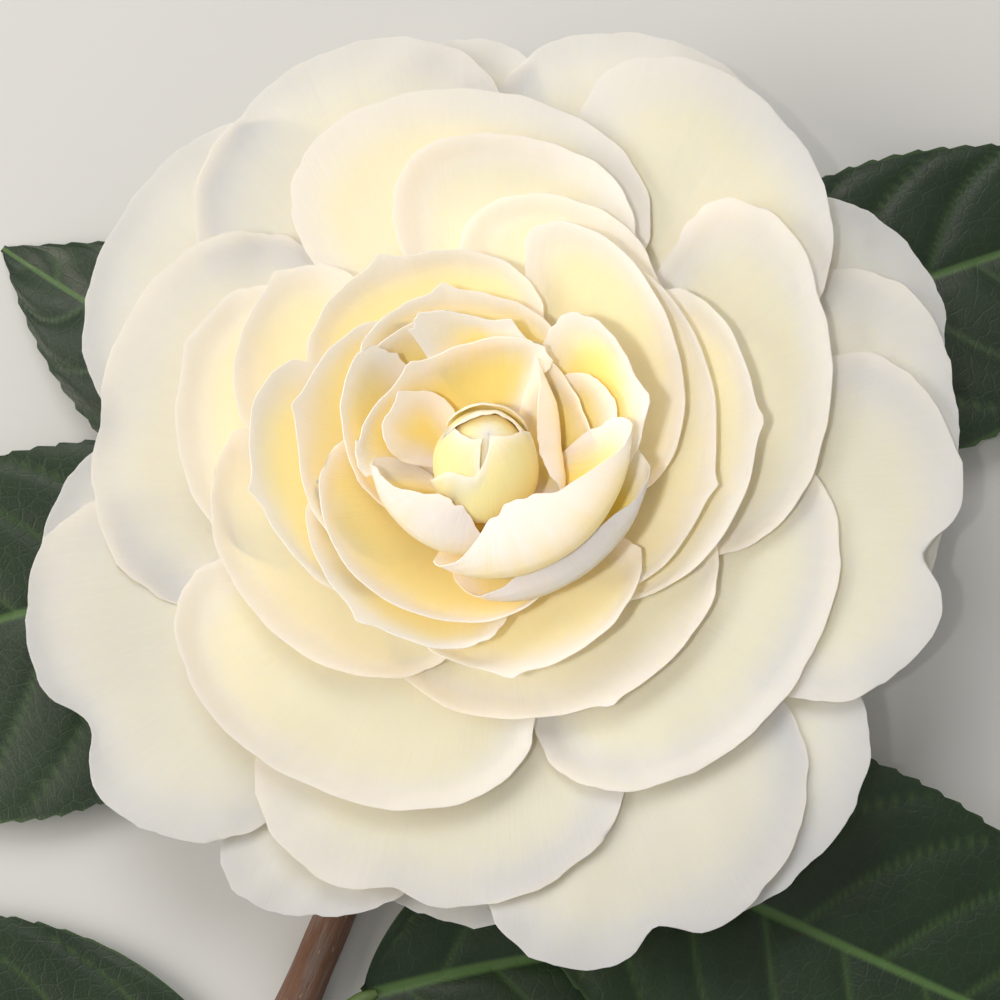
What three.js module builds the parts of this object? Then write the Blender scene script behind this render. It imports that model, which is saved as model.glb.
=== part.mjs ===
// A cut camellia sprig: one formal double bloom, face up, on a short woody twig with six leaves.
//
// Millimetres, +Z up. The bloom's axis is vertical. The twig lies on the ground plane and turns up
// into the bloom's base. The origin is at the bottom centre of the whole sprig's box.
//
// The petals nest like the shells of an onion. Each sits on a level of its own, counted from the
// outermost, lowest one. A level is a surface of revolution about the bloom's axis that starts on
// the receptacle, and every level lies above the one before it at every radius, so petals cut from
// different levels never meet, whatever their outline.
import * as THREE from 'three';

// ---- Driving dimensions of the bloom ----
const BLOOM_BASE = 9;             // the calyx's underside above the ground plane
const CORE_RADIUS = 10;           // the receptacle at its foot
const CORE_FOOT = 1;              // the first petals' height above the calyx's underside
const LEVEL_RISE = 0.72;          // from one level of petals to the next, up the receptacle
const LEVEL_INSET = 0.30;         // and in towards the axis
const PETAL_THICKNESS = 0.45;
const RIM_THICKNESS = 0.32;
const CLEARANCE = 0.3;            // between pieces that touch on the real sprig
const OVERLAP_MARGIN = 2;         // degrees between two petals that share a level
const SHOULDER = 0.5;             // a petal is widest this far along its length
const NECK_ROWS = 0.4;            // the share of a petal's rows that lie below its widest place
const FOOT_HALF_WIDTH = 5.5;      // of a petal's narrow foot on the receptacle
const FOOT_SHARE = 0.75;          // its foot is at most this share of its full width
const RIM_POWER = 2.5;            // 2 is an elliptical rim, more is squarer
const NOTCH_HALF_ANGLE = 4;       // degrees, of a notch in a petal's rim

// The full-sized shell at some levels, and those between are worked out from them: the radius and
// height of its rim, and its profile's bend, from reflexed (below 0) to cupped (above 0).
const SHELLS = [
  { level: 0, radius: 51, height: 5, bend: -0.9 },
  { level: 5, radius: 50.5, height: 10, bend: -0.6 },
  { level: 8, radius: 40, height: 16, bend: -0.1 },
  { level: 11, radius: 29.5, height: 22, bend: 0.15 },
  { level: 14, radius: 24.5, height: 25, bend: 0.3 },
  { level: 18, radius: 18.5, height: 27.3, bend: 0.4 },
  { level: 25, radius: 12, height: 29.3, bend: 0.5 },
];

// The petals, from the outermost in. turn is where the petal points, in degrees counter-clockwise
// from +X. reach is its tip's radius, spread its half width in degrees, and skew how much further
// its counter-clockwise shoulder reaches. A notch is [turn, depth]. lean bends the last rise
// millimetres of a petal in over the bud.
const PETALS = [
  // The fringe: broad, flat petals that open fully.
  { turn: 31, reach: 52, spread: 22, skew: -2 },
  { turn: -6, reach: 47, spread: 19, skew: 0 },
  { turn: -99, reach: 45.5, spread: 17, skew: 2 },
  { turn: 97, reach: 51.5, spread: 17, skew: -1 },
  { turn: -50, reach: 51.5, spread: 26, skew: -2 },
  { turn: 190, reach: 50.5, spread: 24, skew: 2.5 },
  { turn: -112, reach: 48.5, spread: 18, skew: -7 },
  { turn: 140, reach: 52.5, spread: 30, skew: 0 },
  { turn: 12, reach: 50.5, spread: 25, skew: 1 },
  { turn: 69, reach: 54, spread: 25, skew: 0 },
  { turn: 114, reach: 53, spread: 29, skew: -1.5 },
  { turn: -152, reach: 53.5, spread: 30, skew: -1, notch: [-151, 3.5] },
  { turn: -64, reach: 51.5, spread: 30, skew: -3, notch: [-70, 3.5] },
  { turn: -8, reach: 49.5, spread: 31, skew: 2, notch: [-9, 4] },
  { turn: 51, reach: 50.5, spread: 27, skew: 6.5 },
  { turn: -99, reach: 44.5, spread: 36, skew: -2, notch: [-105, 1.5] },
  { turn: 163, reach: 45, spread: 38, skew: 0 },
  { turn: 93, reach: 44, spread: 36, skew: 3 },
  // The dish: petals that stand up at a low angle.
  { turn: -36, reach: 38, spread: 45, skew: 1.5 },
  { turn: 16, reach: 38, spread: 38, skew: 9 },
  { turn: -123, reach: 37.5, spread: 44, skew: -4 },
  { turn: 84, reach: 38.5, spread: 27, skew: 2 },
  { turn: 71, reach: 32, spread: 28, skew: 1.5 },
  { turn: 169, reach: 34.5, spread: 35, skew: -5 },
  { turn: -71, reach: 25.5, spread: 64, skew: 3 },
  { turn: -4, reach: 26.5, spread: 52, skew: 8 },
  { turn: 213, reach: 28, spread: 48, skew: -6 },
  { turn: 9, reach: 24.5, spread: 66, skew: 6.5 },
  { turn: 33, reach: 24, spread: 49, skew: 7.5 },
  { turn: 149, reach: 31, spread: 26, skew: -3 },
  // The cup: steeper petals round the heart.
  { turn: 113, reach: 25, spread: 43, skew: 1 },
  { turn: 189, reach: 24, spread: 43, skew: -3.5 },
  { turn: -74, reach: 20.5, spread: 52, skew: 0.5 },
  { turn: -133, reach: 20, spread: 58, skew: -0.5 },
  { turn: 170, reach: 20, spread: 56, skew: -2.5 },
  { turn: 97, reach: 19, spread: 49, skew: 2 },
  { turn: -122, reach: 17, spread: 78, skew: -2 },
  { turn: 122, reach: 17.5, spread: 31, skew: 1 },
  { turn: 168, reach: 15.5, spread: 41, skew: -4 },
  // The heart: petals that wrap the bud.
  { turn: -56, reach: 14, spread: 70, skew: 4, lean: 3, rise: 3 },
  { turn: 26, reach: 18, spread: 39, skew: 3 },
  { turn: 31, reach: 15, spread: 25, skew: 0 },
  { turn: 55, reach: 13, spread: 62, skew: 4 },
  { turn: -62, reach: 10.5, spread: 66, skew: 1, lean: 4.5, rise: 4 },
  { turn: 120, reach: 13, spread: 66, skew: 0 },
  { turn: 20, reach: 8.5, spread: 52, skew: 1.5 },
  { turn: 216, reach: 10, spread: 44, skew: -2, lean: 3, rise: 3.5 },
];

const PETAL_ROWS = 5;
const PETAL_COLUMNS = { narrow: 8, wide: 10 };
const WIDE_SPREAD = 50;           // a petal with a notch, or a spread over this, gets more columns

const BUD_RADIUS = 5.2;
const BUD_NECK = 3.6;
const BUD_TOP = 28.6;             // above the calyx's underside
const CALYX_RADIUS = 13;
const CALYX_LOBES = 6;

// ---- Driving dimensions of the twig and leaves ----
const TWIG_HEADING = 247;         // degrees: from under the bloom to the cut end
const TWIG_LENGTH = 80;           // out from the bloom's axis
const TWIG_RADIUS = { tip: 1.9, cut: 2.5 };
const TWIG_BEND = 20;             // the twig starts to turn up this far from the bloom's axis
const TWIG_SIDES = 10;
const NODE_SWELLING = 0.35;       // of the twig where a leaf joins it

// node is how far out along the twig the leaf joins it, and foot where its blade starts, from the
// bloom's axis. heading is the midrib's direction there and swing how far it turns by its tip.
// breadth is the blade's half width left and right of the midrib, and heights are the midrib's
// above the ground plane at its foot, middle and tip.
const LEAVES = [
  {
    node: 14, foot: [-12, -3.5], heading: 184, swing: 22,
    length: 90, breadth: [24, 18.5], heights: [4.6, 2.6, 0.5],
  },
  {
    node: 0.5, foot: [4, 8], heading: 26, swing: -12,
    length: 90, breadth: [15, 20], heights: [6.4, 3.6, 0.5],
  },
  {
    node: 27, foot: [-2.6, -29.2], heading: -26, swing: 3,
    length: 92, breadth: [20, 21], heights: [5.2, 5.2, 0.5],
  },
  {
    node: 60, foot: [-15.5, -53], heading: 16, swing: -24,
    length: 66, breadth: [17, 17], heights: [2.2, 1.2, 0.5],
  },
  {
    node: 7, foot: [-6, 3.5], heading: 158, swing: -14,
    length: 60, breadth: [14.5, 14.5], heights: [7.2, 5.8, 0.5],
  },
  {
    node: 64, foot: [-31, -59], heading: 180, swing: 24,
    length: 84, breadth: [20, 19], heights: [2.2, 1.3, 0.5],
  },
];
const LEAF_THICKNESS = 0.9;
const LEAF_EDGE = 0.5;
const LEAF_FOLD = 0.06;           // the blade rises to its margins by this share of its half width
const LEAF_STEPS = 10;
const PETIOLE_RADIUS = 0.85;
const PETIOLE_STEPS = 3;

const HEART_LEVEL = 19;           // petals from this level in have the heart's colour
const COLOURS = {
  petal: 0xf4ecd6,
  heart: 0xf3dc9a,
  calyx: 0x8d9a55,
  wood: 0x6e4330,
  leaf: 0x1f3d1b,
};

const degrees = THREE.MathUtils.degToRad;
const material = (color, roughness) => new THREE.MeshStandardMaterial({ color, roughness, metalness: 0 });
const petalMaterial = material(COLOURS.petal, 0.6);
const heartMaterial = material(COLOURS.heart, 0.6);
const calyxMaterial = material(COLOURS.calyx, 0.7);
const woodMaterial = material(COLOURS.wood, 0.85);
const leafMaterial = material(COLOURS.leaf, 0.35);

// ---- Solids from grids and rings ----

// A closed body from rings of points, each ring counter-clockwise as seen from the next one.
function solidFromRings(rings) {
  const count = rings[0].length;
  const positions = rings.flat().flatMap((p) => [p.x, p.y, p.z]);
  const index = [];
  for (let ring = 0; ring < rings.length - 1; ring++) {
    for (let i = 0; i < count; i++) {
      const next = (i + 1) % count;
      const [a, b] = [ring * count + i, ring * count + next];
      index.push(a, b, b + count, a, b + count, a + count);
    }
  }
  const last = (rings.length - 1) * count;
  for (let i = 1; i < count - 1; i++) {
    index.push(0, i + 1, i, last, last + i, last + i + 1);
  }
  const geometry = new THREE.BufferGeometry();
  geometry.setAttribute('position', new THREE.Float32BufferAttribute(positions, 3));
  geometry.setIndex(index);
  return geometry;
}

// A thin closed body round a grid of points. surface(column, row) gives a point of its middle
// surface, with both arguments from 0 to 1 and its outer side facing down.
function blade(surface, columns, rows) {
  const step = 1e-3;
  const across = new THREE.Vector3();
  const along = new THREE.Vector3();
  const faces = [[], []];
  for (let row = 0; row <= rows; row++) {
    for (let column = 0; column <= columns; column++) {
      const [u, v] = [column / columns, row / rows];
      const [u0, v0] = [Math.min(u, 1 - step), Math.min(v, 1 - step)];
      const point = surface(u, v);
      across.subVectors(surface(u0 + step, v0), surface(u0, v0));
      along.subVectors(surface(u0, v0 + step), surface(u0, v0));
      const normal = across.cross(along).normalize();
      const onRim = column === 0 || column === columns || row === rows;
      const half = (onRim ? RIM_THICKNESS : PETAL_THICKNESS) / 2;
      faces[0].push(point.clone().addScaledVector(normal, half));
      faces[1].push(point.clone().addScaledVector(normal, -half));
    }
  }
  const width = columns + 1;
  const size = faces[0].length;
  const index = [];
  for (let row = 0; row < rows; row++) {
    for (let column = 0; column < columns; column++) {
      const a = row * width + column;
      const [b, c, d] = [a + 1, a + 1 + width, a + width];
      index.push(a, b, c, a, c, d);
      index.push(size + a, size + c, size + b, size + a, size + d, size + c);
    }
  }
  const rim = [];
  for (let column = 0; column < columns; column++) rim.push(column);
  for (let row = 0; row < rows; row++) rim.push(row * width + columns);
  for (let column = columns; column > 0; column--) rim.push(rows * width + column);
  for (let row = rows; row > 0; row--) rim.push(row * width);
  rim.forEach((a, i) => {
    const b = rim[(i + 1) % rim.length];
    index.push(a, size + a, size + b, a, size + b, b);
  });
  const geometry = new THREE.BufferGeometry();
  const positions = faces.flat().flatMap((p) => [p.x, p.y, p.z]);
  geometry.setAttribute('position', new THREE.Float32BufferAttribute(positions, 3));
  geometry.setIndex(index);
  return geometry;
}

// ---- The nested shells ----

function shellAt(level) {
  const after = Math.max(1, SHELLS.findIndex((shell) => shell.level >= level));
  const upper = SHELLS.at(SHELLS.at(-1).level < level ? -1 : after);
  const lower = SHELLS[SHELLS.indexOf(upper) - 1];
  const share = Math.min(1, (level - lower.level) / (upper.level - lower.level));
  const mix = (name) => THREE.MathUtils.lerp(lower[name], upper[name], share);
  return {
    innerRadius: CORE_RADIUS - LEVEL_INSET * level,
    innerHeight: CORE_FOOT + LEVEL_RISE * level,
    radius: mix('radius'),
    height: mix('height'),
    bend: mix('bend'),
  };
}

function shellHeight(shell, radius) {
  const out = (radius - shell.innerRadius) / (shell.radius - shell.innerRadius);
  const rise = (1 - shell.bend) * out + shell.bend * out * out;
  return shell.innerHeight + (shell.height - shell.innerHeight) * rise;
}

// A petal goes on the first level above every earlier petal that its width overlaps.
function levelsOf(petals) {
  const levels = [];
  petals.forEach((petal, i) => {
    const under = petals.slice(0, i).map((other, j) => {
      const apart = Math.abs(THREE.MathUtils.euclideanModulo(other.turn - petal.turn + 180, 360) - 180);
      return apart < other.spread + petal.spread + OVERLAP_MARGIN ? levels[j] + 1 : 0;
    });
    levels.push(Math.max(0, ...under));
  });
  return levels;
}

// ---- A petal ----

// Where a grid point lies on the petal's outline: side runs from -1 to 1 across it, and out from 0
// at its shoulder to 1 at its tip. Below the shoulder, out is 0 and neck falls from 1 to 0.
function outlinePoint(u, v) {
  const side = 2 * u - 1;
  if (v < NECK_ROWS) return { side, out: 0, neck: v / NECK_ROWS };
  const out = (v - NECK_ROWS) / (1 - NECK_ROWS);
  const [x, y] = [side * Math.sqrt(1 - out * out / 2), out * Math.sqrt(1 - side * side / 2)];
  const round = Math.hypot(x, y);
  const square = (Math.abs(x) ** RIM_POWER + y ** RIM_POWER) ** (1 / RIM_POWER);
  const scale = square > 0 ? round / square : 1;
  return { side: x * scale, out: y * scale, neck: 1 };
}

function petalSurface(petal, level) {
  const shell = shellAt(level);
  const foot = shell.innerRadius + CLEARANCE + RIM_THICKNESS / 4;
  const shoulder = foot + SHOULDER * (petal.reach - foot);
  const footSpread = THREE.MathUtils.radToDeg(FOOT_HALF_WIDTH / foot);
  const footShare = Math.min(FOOT_SHARE, footSpread / petal.spread);
  const lean = petal.lean ?? 0;
  const rise = petal.rise ?? 0;
  const tip = petal.reach + rise;
  return (u, v) => {
    const { side, out, neck } = outlinePoint(u, v);
    const width = footShare + (1 - footShare) * Math.sin(neck * Math.PI / 2);
    const turn = petal.turn + petal.spread * side * width;
    const skew = petal.skew * side * neck;
    let radius = foot + (shoulder - foot) * neck + (tip - shoulder) * out;
    if (petal.notch) {
      const off = (turn - petal.notch[0]) / NOTCH_HALF_ANGLE;
      radius -= petal.notch[1] * Math.exp(-off * off) * out ** 6;
    }
    const beyond = Math.max(0, radius - petal.reach);
    let height = shellHeight(shell, radius - beyond + skew);
    if (beyond > 0) {
      const steepness = shellHeight(shell, petal.reach) - shellHeight(shell, petal.reach - 1);
      const inward = (rise + lean * (1 - side * side)) * (beyond / rise) ** 2;
      height += steepness * beyond * (1 - 0.25 * beyond / rise);
      radius -= inward;
    }
    radius += skew;
    const angle = degrees(turn);
    return new THREE.Vector3(radius * Math.cos(angle), radius * Math.sin(angle), height);
  };
}

function petalGeometry(petal, level) {
  const columns = petal.spread > WIDE_SPREAD || petal.notch ? PETAL_COLUMNS.wide : PETAL_COLUMNS.narrow;
  return blade(petalSurface(petal, level), columns, PETAL_ROWS);
}

// ---- Receptacle, calyx and bud ----

const lathe = (profile, sides) => {
  const points = profile.map(([radius, height]) => new THREE.Vector2(radius, height));
  return new THREE.LatheGeometry(points, sides).rotateX(Math.PI / 2);
};

function receptacleGeometry(topLevel) {
  const bottom = CORE_FOOT - CLEARANCE;
  const top = CORE_FOOT + LEVEL_RISE * topLevel;
  const topRadius = CORE_RADIUS - LEVEL_INSET * topLevel;
  const profile = [[0, bottom], [CORE_RADIUS, bottom], [CORE_RADIUS, CORE_FOOT], [topRadius, top], [0, top]];
  return lathe(profile, 36);
}

// The calyx is a shallow saucer with a scalloped edge, under the lowest petals. Its underside and
// its top both rise towards the edge.
function calyxGeometry() {
  const top = CORE_FOOT - 2 * CLEARANCE;
  const scallop = 0.05;
  const underside = (radius) => 0.12 * Math.max(0, radius - 7);
  const upperside = (radius) => top + 0.2 * Math.max(0, radius - CORE_RADIUS);
  const profile = [
    [3.2, underside], [7, underside], [CALYX_RADIUS, underside],
    [CALYX_RADIUS, upperside], [CORE_RADIUS, upperside], [5, upperside],
  ];
  const sides = 6 * CALYX_LOBES;
  const rings = profile.map(([radius, height]) => {
    return Array.from({ length: sides }, (_, i) => {
      const angle = 2 * Math.PI * i / sides;
      const lobe = scallop * (radius / CALYX_RADIUS) ** 4 * (1 + Math.cos(CALYX_LOBES * angle));
      const out = radius * (1 - lobe);
      return new THREE.Vector3(out * Math.cos(angle), out * Math.sin(angle), height(out));
    });
  });
  return solidFromRings(rings);
}

function budGeometry(topLevel) {
  const seat = shellAt(topLevel + 0.6);
  const foot = seat.innerHeight + CLEARANCE;
  const waist = shellHeight(seat, BUD_NECK) + CLEARANCE;
  const middle = (waist + BUD_TOP) / 2;
  const profile = [
    [0, foot], [seat.innerRadius * 0.8, foot], [BUD_NECK, waist + 0.4], [BUD_RADIUS * 0.95, middle - 1.2],
    [BUD_RADIUS, middle], [BUD_RADIUS * 0.94, middle + 1.6], [BUD_RADIUS * 0.7, BUD_TOP - 1.1],
    [BUD_RADIUS * 0.35, BUD_TOP - 0.2], [0, BUD_TOP],
  ];
  return lathe(profile, 20);
}

// ---- The twig ----

const outward = new THREE.Vector3(Math.cos(degrees(TWIG_HEADING)), Math.sin(degrees(TWIG_HEADING)), 0);

// The twig's centre line, from its tip under the bloom to the cut end. It lies along the ground
// and turns up over its last TWIG_BEND millimetres.
const lying = TWIG_RADIUS.cut * Math.cos(Math.PI / TWIG_SIDES);
const twigBend = new THREE.QuadraticBezierCurve3(
  new THREE.Vector3(0, 0, BLOOM_BASE - CLEARANCE),
  new THREE.Vector3(0, 0, lying),
  outward.clone().multiplyScalar(TWIG_BEND).setZ(lying));

function twigPoint(out) {
  if (out < TWIG_BEND) return twigBend.getPoint(Math.sqrt(out / TWIG_BEND));
  return outward.clone().multiplyScalar(out).setZ(lying);
}

function twigRadius(out) {
  const taper = THREE.MathUtils.lerp(TWIG_RADIUS.tip, TWIG_RADIUS.cut, out / TWIG_LENGTH);
  const swelling = LEAVES.reduce((sum, leaf) => sum + Math.exp(-(((out - leaf.node) / 2) ** 2)), 0);
  const room = out < TWIG_BEND ? 1 : (TWIG_RADIUS.cut - taper) / NODE_SWELLING;
  return taper + NODE_SWELLING * swelling * Math.min(1, room);
}

function twigGeometry() {
  const bendSteps = 7;
  const runStep = 2.5;
  const stations = [];
  for (let i = 0; i < bendSteps; i++) stations.push(TWIG_BEND * (i / bendSteps) ** 2);
  for (let out = TWIG_BEND; out <= TWIG_LENGTH; out += runStep) stations.push(out);
  const sideways = new THREE.Vector3(-outward.y, outward.x, 0);
  const rings = stations.map((out, i) => {
    const step = 0.01;
    const before = twigPoint(Math.max(0, out - step));
    const tangent = twigPoint(out + step).sub(before).normalize();
    const upright = i === 0 ? outward.clone().negate() : new THREE.Vector3().crossVectors(sideways, tangent);
    const centre = twigPoint(out);
    return Array.from({ length: TWIG_SIDES }, (_, k) => {
      const angle = 2 * Math.PI * k / TWIG_SIDES;
      return centre.clone()
        .addScaledVector(sideways, twigRadius(out) * Math.cos(angle))
        .addScaledVector(upright, -twigRadius(out) * Math.sin(angle));
    });
  });
  return solidFromRings(rings);
}

// ---- A leaf ----

// The blade's half width along its length, from 0 at its foot to 1 at its tip: widest just below
// the middle, with a drawn-out tip.
function leafBreadth(along) {
  const oval = Math.sin(Math.PI * along ** 0.88) ** 0.8;
  return oval * (1 - 0.25 * along ** 4);
}

function leafGeometry(leaf) {
  const [footHeight, middleHeight, tipHeight] = leaf.heights;
  const foot = new THREE.Vector3(...leaf.foot, footHeight);
  const node = twigPoint(leaf.node);
  const alongTwig = twigPoint(leaf.node + 0.01).sub(node).normalize();
  const away = foot.clone().sub(node).projectOnPlane(alongTwig).setZ(0).normalize();
  const start = node.clone().addScaledVector(away, twigRadius(leaf.node) + CLEARANCE);
  const heading = degrees(leaf.heading);
  const lead = new THREE.Vector3(Math.cos(heading), Math.sin(heading), 0);
  const reach = start.distanceTo(foot) / 3;
  const petiole = new THREE.CubicBezierCurve3(
    start, start.clone().addScaledVector(away, reach), foot.clone().addScaledVector(lead, -reach), foot);

  const stations = [];
  for (let i = 0; i < PETIOLE_STEPS; i++) {
    const t = i / PETIOLE_STEPS;
    const tangent = petiole.getTangent(t);
    stations.push({
      centre: petiole.getPoint(t),
      direction: Math.atan2(tangent.y, tangent.x),
      left: PETIOLE_RADIUS, right: PETIOLE_RADIUS,
      middle: PETIOLE_RADIUS, edge: PETIOLE_RADIUS * 0.6, fold: 0,
    });
  }
  const bow = 2 * (footHeight - 2 * middleHeight + tipHeight);
  const drop = tipHeight - footHeight - bow;
  const centre = foot.clone();
  const parts = 20 * LEAF_STEPS;
  for (let i = 0; i <= LEAF_STEPS; i++) {
    const along = i / LEAF_STEPS;
    const breadth = Math.max(0.02, leafBreadth(along));
    stations.push({
      centre: centre.clone().setZ(footHeight + drop * along + bow * along * along),
      direction: heading + degrees(leaf.swing) * along,
      left: Math.max(PETIOLE_RADIUS * (1 - along / 2), leaf.breadth[0] * breadth),
      right: Math.max(PETIOLE_RADIUS * (1 - along / 2), leaf.breadth[1] * breadth),
      middle: LEAF_THICKNESS / 2, edge: LEAF_EDGE / 2, fold: LEAF_FOLD,
    });
    for (let part = 0; part < parts / LEAF_STEPS; part++) {
      const angle = heading + degrees(leaf.swing) * (along + (part + 0.5) / parts);
      centre.x += Math.cos(angle) * leaf.length / parts;
      centre.y += Math.sin(angle) * leaf.length / parts;
    }
  }
  const rings = stations.map(({ centre: at, direction, left, right, middle, edge, fold }) => {
    const leftward = new THREE.Vector3(-Math.sin(direction), Math.cos(direction), 0);
    const offsets = [-right, -right / 2, 0, left / 2, left];
    const point = (offset, side) => {
      const half = THREE.MathUtils.lerp(middle, edge, Math.abs(offset) / Math.max(left, right));
      return at.clone().addScaledVector(leftward, offset)
        .add(new THREE.Vector3(0, 0, fold * Math.abs(offset) + side * half));
    };
    return [...offsets.map((o) => point(o, -1)), ...offsets.reverse().map((o) => point(o, 1))];
  });
  return solidFromRings(rings);
}

// ---- The sprig ----

const sprig = new THREE.Group();
const bloom = new THREE.Group();
bloom.position.z = BLOOM_BASE;
sprig.add(bloom);

function addPiece(group, name, geometry, finish) {
  const mesh = new THREE.Mesh(geometry, finish);
  mesh.name = name;
  group.add(mesh);
}

const levels = levelsOf(PETALS);
const topLevel = Math.max(...levels);
PETALS.forEach((petal, i) => {
  const name = `petal_${String(i + 1).padStart(2, '0')}`;
  const finish = levels[i] < HEART_LEVEL ? petalMaterial : heartMaterial;
  addPiece(bloom, name, petalGeometry(petal, levels[i]), finish);
});
addPiece(bloom, 'receptacle', receptacleGeometry(topLevel), calyxMaterial);
addPiece(bloom, 'calyx', calyxGeometry(), calyxMaterial);
addPiece(bloom, 'bud', budGeometry(topLevel), heartMaterial);
addPiece(sprig, 'twig', twigGeometry(), woodMaterial);
LEAVES.forEach((leaf, i) => addPiece(sprig, `leaf_${i + 1}`, leafGeometry(leaf), leafMaterial));

const box = new THREE.Box3().setFromObject(sprig);
const middle = box.getCenter(new THREE.Vector3());
sprig.position.set(-middle.x, -middle.y, -box.min.z);

export default sprig;
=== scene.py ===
"""A cut camellia sprig: one formal double bloom, face up, on a short twig with six leaves."""
import math
from typing import NamedTuple

import bpy
import numpy as np
from bpy.props import FloatProperty, FloatVectorProperty, IntProperty, PointerProperty
from bpy.types import Operator, Panel, PropertyGroup
from mathutils import Matrix, Vector


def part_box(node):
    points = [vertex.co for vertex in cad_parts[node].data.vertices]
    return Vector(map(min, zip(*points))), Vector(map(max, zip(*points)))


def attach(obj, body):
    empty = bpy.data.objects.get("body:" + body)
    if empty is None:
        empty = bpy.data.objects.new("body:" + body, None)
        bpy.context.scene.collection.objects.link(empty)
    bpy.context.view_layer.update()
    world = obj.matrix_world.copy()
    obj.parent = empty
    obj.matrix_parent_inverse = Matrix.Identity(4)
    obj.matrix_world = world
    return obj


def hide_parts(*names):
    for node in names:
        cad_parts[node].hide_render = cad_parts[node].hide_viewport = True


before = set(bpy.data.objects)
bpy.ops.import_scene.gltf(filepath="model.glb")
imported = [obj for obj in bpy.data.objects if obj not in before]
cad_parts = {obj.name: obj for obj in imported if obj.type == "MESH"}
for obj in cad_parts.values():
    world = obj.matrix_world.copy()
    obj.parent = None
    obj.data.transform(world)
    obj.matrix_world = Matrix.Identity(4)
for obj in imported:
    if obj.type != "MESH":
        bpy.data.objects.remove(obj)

bl_info = {
    "name": "Camellia sprig",
    "version": (1, 0, 0),
    "blender": (4, 5, 0),
    "location": "3D View > Sidebar > Camellia",
    "description": "Builds a cut sprig of camellia with one double bloom",
    "category": "Add Mesh",
}

MM = 0.001
PETAL_SEED, BUD_SEED, SEPAL_SEED, TWIG_SEED, LEAF_SEED = 7100, 7300, 7400, 7500, 7600
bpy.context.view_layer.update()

# The bloom's axis is upright through the receptacle. Heights count from the calyx's underside, and
# the receptacle's underside is a little above that.
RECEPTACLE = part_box("receptacle")
RECEPTACLE_FOOT = 0.7
AXIS = (RECEPTACLE[0] + RECEPTACLE[1]) / 2 / MM
BLOOM = np.array([AXIS.x, AXIS.y, RECEPTACLE[0].z / MM - RECEPTACLE_FOOT])
SPRIG = np.array([AXIS.x, AXIS.y, 0.0])

# ---- Sizes the solids were built from, in millimetres ----
CORE_RADIUS, CORE_FOOT = 10, 1
LEVEL_RISE, LEVEL_INSET = 0.72, 0.30
FOOT_GAP = 0.38
FOOT_HALF_WIDTH, FOOT_SHARE = 5.5, 0.75
SHOULDER, NECK_ROWS, RIM_POWER = 0.5, 0.4, 2.5
OVERLAP_MARGIN = 2
NICK_HALF_ANGLE = 4

# level, and its rim's radius, height and bend
SHELLS = np.array([
    (0, 51, 5, -0.9), (5, 50.5, 10, -0.6), (8, 40, 16, -0.1), (11, 29.5, 22, 0.15),
    (14, 24.5, 25, 0.3), (18, 18.5, 27.3, 0.4), (25, 12, 29.3, 0.5)], dtype=float)


class Petal(NamedTuple):
    """turn and spread in degrees, the rest in millimetres."""
    turn: float            # where it points, counter-clockwise from +X
    reach: float           # its tip's radius
    spread: float          # half its width
    skew: float            # how much further its counter-clockwise shoulder reaches
    roll: float = 0.1      # how far its rim rolls outwards
    point: float = None    # where its rim has a small point
    nicks: tuple = ()      # (turn, depth) of each notch in its rim
    lean: float = 0        # how far its top leans in over the bud
    rise: float = 0        # and over what height
    flat: float = 0        # how much further out its two sides are than a round bowl's


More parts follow.
